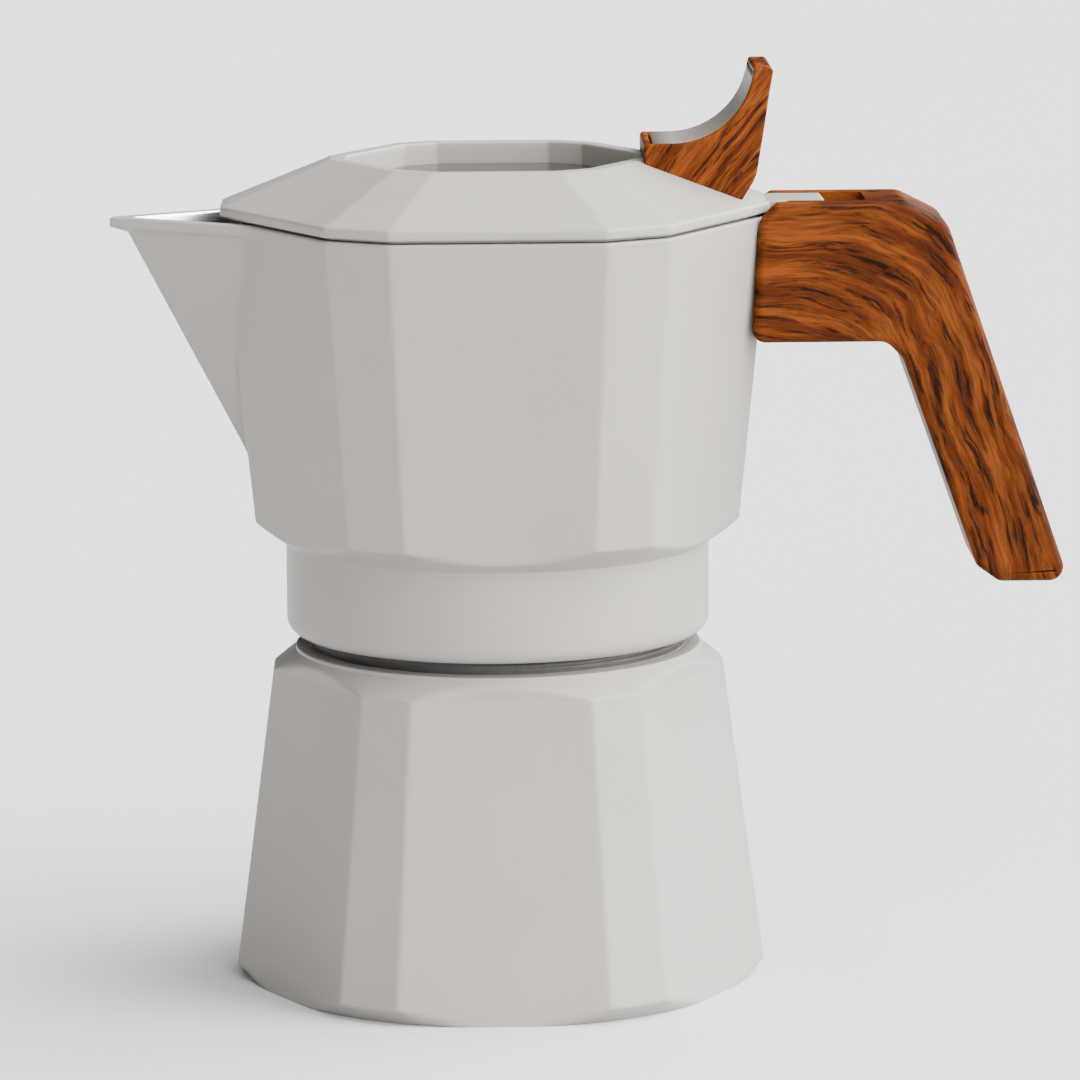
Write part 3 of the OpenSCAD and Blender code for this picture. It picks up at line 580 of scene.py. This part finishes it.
class Finish:
    """A material with one Principled shader; constants are set at once and varying values are linked."""

    def __init__(self, name, **constants):
        self.mat = bpy.data.materials.new(name)
        self.mat.use_nodes = True
        self.tree = self.mat.node_tree
        self.shader = self.tree.nodes["Principled BSDF"]
        for key, value in constants.items():
            self.shader.inputs[key.replace("_", " ")].default_value = value
        self.place = self.make("ShaderNodeTexCoord")["Object"]
        axes = self.make("ShaderNodeSeparateXYZ", {}, {"Vector": self.place})
        self.x, self.y, self.z = axes["X"], axes["Y"], axes["Z"]

    def make(self, kind, settings=(), inputs=()):
        """Any node: settings first, then its inputs; returns its outputs by name."""
        n = self.tree.nodes.new(kind)
        for key, value in dict(settings).items():
            setattr(n, key, value)
        for key, value in dict(inputs).items():
            plug(self.tree, value, n.inputs[key])
        return {o.name: Socket(self.tree, o) for o in n.outputs if o.enabled}

    def noise(self, vector, scale, detail=3.0, roughness=0.5, distortion=0.0):
        return self.make("ShaderNodeTexNoise", {}, {
            "Vector": vector, "Scale": scale, "Detail": detail, "Roughness": roughness,
            "Distortion": distortion})["Fac"]

    def vector(self, x, y, z):
        return self.make("ShaderNodeCombineXYZ", {}, {"X": x, "Y": y, "Z": z})["Vector"]

    def spread(self, value, low, high):
        """Value stretched so that low becomes 0 and high becomes 1, eased at both ends."""
        return self.make("ShaderNodeMapRange", {"interpolation_type": "SMOOTHSTEP"}, {
            "Value": value, "From Min": low, "From Max": high})["Result"]

    def mix(self, factor, a, b):
        """Colour between a and b."""
        n = self.tree.nodes.new("ShaderNodeMix")
        n.data_type = "RGBA"
        for value, socket in ((factor, n.inputs["Factor"]), (a, n.inputs[6]), (b, n.inputs[7])):
            plug(self.tree, value, socket)
        return Socket(self.tree, n.outputs[2])

    def drive(self, **values):
        """Feeds sockets of the Principled shader, named with _ for a space."""
        for key, value in values.items():
            plug(self.tree, value, self.shader.inputs[key.replace("_", " ")])
        return self

    def bump(self, height, distance, strength=1.0):
        n = self.make("ShaderNodeBump", {}, {"Height": height, "Distance": distance, "Strength": strength})
        return self.drive(Normal=n["Normal"])


def rgb(r, g, b):
    """Colour given as screen values from 0 to 255, as the linear colour that nodes use."""
    c = np.array([r, g, b]) / 255
    return (*np.where(c > 0.04045, ((c + 0.055) / 1.055) ** 2.4, c / 12.92).tolist(), 1.0)


# %% [markdown]
# ### Paint
# The cast shells have a satin, warm grey paint. One flat colour would look like bare plastic, so two close
# greys drift into each other and a fine noise bumps the surface.

# %% Paint
paint = Finish("warm grey paint", Specular_IOR_Level=0.25)
cloud = paint.noise(paint.place, 22.0, 3.0)
speck = paint.noise(paint.place, 2600.0, 2.0)
paint.drive(Base_Color=paint.mix(paint.spread(cloud, 0.3, 0.7), rgb(134, 130, 124), rgb(138, 134, 129)))
paint.drive(Roughness=0.36 + 0.10 * cloud)
paint.bump(speck + 2.0 * paint.noise(paint.place, 420.0, 2.0), 0.000012)

# %% [markdown]
# ### Metals
# Spun and machined aluminium, turned brass and polished steel. The neck's thread metal is dark grey: painted
# shade for the gap under the skirt. Anisotropic shading could show the tool marks.
# Noise that is stretched along an axis is enough at this size.

# %% Metals
def metal(name, color, rough, grain, depth=0.00001, stretch=(1.0, 1.0, 1.0)):
    """Bare metal with fine tool marks; stretch draws the marks out along the axes with small values."""
    m = Finish(name, Metallic=1.0)
    v = m.vector(m.x * stretch[0], m.y * stretch[1], m.z * stretch[2])
    fine = m.noise(v, grain, 4.0, 0.6)
    broad = m.noise(m.place, 60.0, 2.0)
    dark = tuple(c * 0.86 for c in color[:3]) + (1.0,)
    m.drive(Base_Color=m.mix(m.spread(broad, 0.3, 0.7), color, dark), Roughness=rough * (0.7 + 0.6 * fine))
    return m.bump(fine, depth)


bright = metal("machined aluminium", rgb(226, 226, 228), 0.26, 900.0, 0.000006, (0.4, 0.4, 6.0))
# Dark grey thread metal: painted shade for the gap under the collector's skirt. The boiler's bore gets it as
# well.
thread_painted_shade = metal("cut thread, painted shade", rgb(70, 69, 68), 0.55, 900.0)
alu = metal("spun aluminium", rgb(205, 205, 207), 0.34, 800.0, 0.000008, (0.4, 0.4, 8.0))
brass = metal("turned brass", rgb(214, 172, 92), 0.28, 1500.0, 0.00001, (0.5, 6.0, 0.5))
steel = metal("polished steel", rgb(190, 192, 196), 0.22, 1200.0)

# %% [markdown]
# ### Rubbers and plastics
# The gaskets, the window pane and the satin strip of the knob. The pane is near black: painted shade for the
# dark inside seen through it. Each could be one colour. Here each drifts between two near colours, with a gloss
# of its own, because gloss tells rubber from plastic.

# %% Rubbers and plastics
def soft(name, a, b, rough, grain, depth, **constants):
    """Rubber or plastic that drifts between two near colours, with a fine grain."""
    m = Finish(name, **constants)
    n = m.noise(m.place, grain, 3.0)
    m.drive(Base_Color=m.mix(m.spread(n, 0.35, 0.65), a, b), Roughness=rough + 0.1 * n)
    return m.bump(n, depth)


rubber = soft("black rubber", rgb(34, 33, 32), rgb(46, 45, 43), 0.62, 500.0, 0.00003)
silicone = soft("white silicone", rgb(222, 218, 208), rgb(232, 228, 220), 0.48, 300.0, 0.00002)
# Near-black glossy pane: painted shade for the dark inside of the pot seen through the window.
pane_painted_shade = soft("near-black pane, painted shade", rgb(26, 25, 24), rgb(32, 31, 30), 0.05, 200.0, 0.000002,
                   Specular_IOR_Level=0.2)
satin = soft("satin inlay", rgb(140, 133, 126), rgb(146, 139, 133), 0.34, 900.0, 0.00001, Metallic=0.25)

# %% [markdown]
# ### Wood grain
# Orange-brown wood with dark streaks that follow the bend of the handle. A wave texture would give even
# stripes. Noise that is long along the grain and short across it gives streaks of uneven length.

# %% Wood
def wood(name, u, v, seed, tone=1.0):
    """Streaky wood. u runs along the grain and v across it, both functions of the finish, in metres.
    tone makes the lighter colours lighter or darker."""
    m = Finish(name, Specular_IOR_Level=0.03)
    along, across = u(m), v(m)
    drift = m.noise(m.vector(along * 30.0, m.y * 30.0, across * 60.0 + seed), 1.0, 3.0)
    across = across + (drift - 0.5) * 0.008
    fine = m.noise(m.vector(along * 110.0, m.y * 500.0, across * 1900.0), 1.0, 4.0, 0.65)
    broad = m.noise(m.vector(along * 28.0, m.y * 90.0, across * 300.0 + seed), 1.0, 5.0, 0.62)
    veins = m.noise(m.vector(along * 75.0, m.y * 160.0, across * 1000.0 + 2.0 * seed), 1.0, 5.0, 0.72, 0.4)
    light, deep = rgb(102 * tone, 52 * tone, 18 * tone), rgb(63 * tone, 27 * tone, 8 * tone)
    body = m.mix(m.spread(broad, 0.38, 0.60), light, deep)
    body = m.mix(m.spread(fine, 0.40, 0.70) * 0.62, body, rgb(35, 16, 6))
    dark = m.spread(veins, 0.50, 0.60) * m.spread(broad, 0.36, 0.54)
    m.drive(Base_Color=m.mix(dark * 0.95, body, rgb(20, 9, 5)), Roughness=0.34 + 0.16 * fine)
    return m.bump(fine * -1.0 + veins * -0.6, 0.00005, 0.5)


def handle_across(m):
    """Distance from the handle's outer line, which bends round the shoulder."""
    top = m.z * -1.0 + hz * MM
    leg = (m.x * 0.9438 + m.z * 0.3307) * -1.0 + ((hx + 0.3) * 0.9438 + (lz + 3.2) * 0.3307) * MM
    return top.math("SMOOTH_MIN", leg, 0.030)


def knob_along(m):
    """Distance along the knob's grain, which rises to the back."""
    return m.x * 0.62 + m.z * 0.78


def knob_across(m):
    """Distance square to the knob's grain."""
    return m.x * -0.78 + m.z * 0.62


wood_handle = wood("handle wood", lambda m: m.x - m.z, handle_across, 3.0)
wood_knob = wood("knob wood", knob_along, knob_across, 11.0, 1.18)

# %% [markdown]
# ## Assembly
# Each skin rides on its CAD body and stands for its CAD node, so it moves with the joints. Redrawing the
# small inner pieces would add nothing that can be seen, so these nodes keep their CAD shape.

# %% Ride, replace and paint
SKINS = [
    (boiler, "base_unit", "boiler", "painted_body", (paint, thread_painted_shade)),
    (boss, "base_unit", "boiler", "painted_body", (paint,)),
    (collector, "top_unit", "collector", "painted_body", (paint, bright)),
    (lug, "top_unit", "collector", "painted_body", (paint,)),
    (lid, "lid_unit", "lid", "painted_body", (paint,)),
    (spigot, "lid_unit", "lid", "painted_body", (paint,)),
    (tongue, "lid_unit", "lid", "painted_body", (paint,)),
    (ear_pair[0], "lid_unit", "lid", "painted_body", (paint,)),
    (ear_pair[1], "lid_unit", "lid", "painted_body", (paint,)),
    (window, "lid_unit", "lid_window", "smoked_window", (pane_painted_shade,)),
    (knob, "lid_unit", "knob", "wood_grain", (wood_knob,)),
    (inlay, "lid_unit", "knob_inlay", "satin_inlay", (satin,)),
    (handle, "top_unit", "handle", "wood_grain", (wood_handle,)),
    (spring, "base_unit", "valve_spring", "steel", (steel,)),
]
for obj, body, node, slot, finishes in SKINS:
    for f in finishes:
        obj.data.materials.append(f.mat)
    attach(obj, body)
    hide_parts(node)

KEPT = {
    "valve_body": brass, "valve_cap": brass, "valve_pin": steel, "valve_washer": rubber, "funnel": alu,
    "funnel_screen": alu, "gasket": silicone, "filter_plate": alu, "brew_column": bright, "hinge_pin": steel,
    "handle_screw": steel, "handle_washer": steel, "window_gasket": rubber, "knob_screw": steel,
}
for node, f in KEPT.items():
    data = frame["nodes"][node].data
    data.materials.clear()
    data.materials.append(f.mat)
print(len(SKINS), "skins,", len(KEPT), "pieces in their CAD shape")
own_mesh(spring)

# %% [markdown]
# ## Studio
# A pale floor that fills the view, light all round that is stronger from the right and the front, and one
# broad lamp from the right for the soft shadows at the foot. A studio photograph as background would be
# richer, but a plain gradient gives the even facets of the photograph and needs no picture.

# %% Floor, world and lamp
bpy.ops.mesh.primitive_plane_add(size=24, location=(0, 4, 0))
floor = bpy.context.object
ground = Finish("studio floor", Specular_IOR_Level=0.1)
drift = ground.noise(ground.place, 3.0)
ground.drive(Base_Color=ground.mix(drift, (0.52, 0.52, 0.52, 1), (0.53, 0.53, 0.53, 1)))
ground.drive(Roughness=0.8 + 0.05 * ground.noise(ground.place, 30.0))
floor.data.materials.append(ground.mat)

world = bpy.data.worlds.new("studio")
world.use_nodes = True
bpy.context.scene.world = world
tree = world.node_tree
back = tree.nodes["Background"]
axes = tree.nodes.new("ShaderNodeSeparateXYZ")
tree.links.new(tree.nodes.new("ShaderNodeTexCoord").outputs["Generated"], axes.inputs[0])
sky = [Socket(tree, axes.outputs[i]) for i in range(3)]
level = (5.6 * sky[0] - 2.6 * sky[1] + 0.3 * sky[2] + 2.05).math("MAXIMUM", 0.03)
tree.links.new(level.out, back.inputs["Strength"])
back.inputs["Color"].default_value = (1.0, 0.995, 0.985, 1)

lamp_data = bpy.data.lights.new("softbox", "SUN")
lamp_data.energy, lamp_data.angle = 10.5, np.radians(75)
lamp = bpy.data.objects.new("softbox", lamp_data)
lamp.location = (1.1, 0.05, 1.0)
lamp.rotation_euler = (Vector((0, 0, 0.07)) - lamp.location).to_track_quat("-Z", "Y").to_euler()
bpy.context.scene.collection.objects.link(lamp)

# %% [markdown]
# ## Camera
# A long lens about a metre away, a little above the lid, turned slightly to the right of the pot's axis.
# Its place and angles were fitted so that the facets' corners fall where the photograph has them.

# %% Camera
pitch_angle, pan, roll = np.radians([9.70, 1.09, -0.39])
ahead = np.array([np.sin(pan), np.cos(pan), 0])
right = np.array([np.cos(pan), -np.sin(pan), 0])
up_axis = np.array([0, 0, 1])
look = ahead * np.cos(pitch_angle) - up_axis * np.sin(pitch_angle)
tilt = up_axis * np.cos(pitch_angle) + ahead * np.sin(pitch_angle)
side = right * np.cos(roll) + tilt * np.sin(roll)
tilt = -right * np.sin(roll) + tilt * np.cos(roll)
camera_data = bpy.data.cameras.new("camera")
camera_data.sensor_width, camera_data.lens, camera_data.clip_end = 36, 207.5, 100
camera_data.dof.use_dof = False
camera = bpy.data.objects.new("camera", camera_data)
turn_matrix = np.stack([side, tilt, -look], 1)
camera.matrix_world = Matrix.Translation((-0.01318, -1.0901, 0.2642)) @ Matrix(turn_matrix.tolist()).to_4x4()
bpy.context.scene.collection.objects.link(camera)
bpy.context.scene.camera = camera
